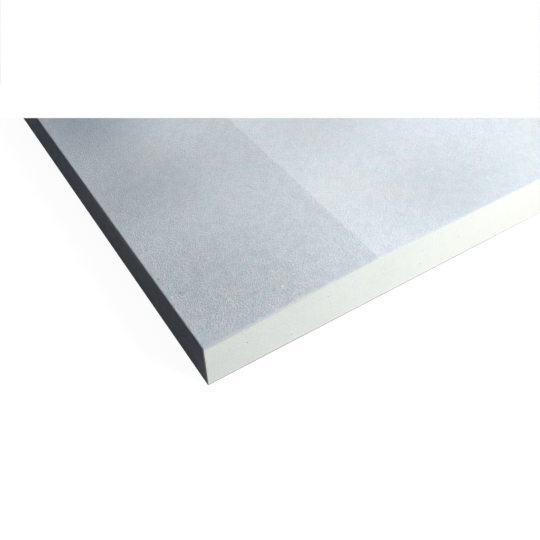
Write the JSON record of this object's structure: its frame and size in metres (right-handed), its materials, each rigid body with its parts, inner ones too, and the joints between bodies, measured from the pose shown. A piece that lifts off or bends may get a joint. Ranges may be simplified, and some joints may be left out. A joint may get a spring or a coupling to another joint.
{
  "type": "drywall sheet",
  "caption": "Flat gypsum board sheet with paper on the face and back, tapered and paper-wrapped long edges, and square sawn ends.",
  "frame": {"origin": "middle of the back, on the plane the sheet lies on", "axes": "+Z out of the face, X across the sheet between the tapered long edges, +Y along the sheet's length"},
  "size_m": [1.2, 2.5, 0.0125],
  "materials": {
    "gypsum": "matt sawn plaster with small air pits",
    "face_liner": "matt, pale blue-grey, fibrous",
    "back_liner": "matt, grey, fibrous"
  },
  "bodies": {
    "root": {"gypsum_core": "gypsum", "face_paper": "face_liner", "back_paper": "back_liner"}
  },
  "joints": []
}
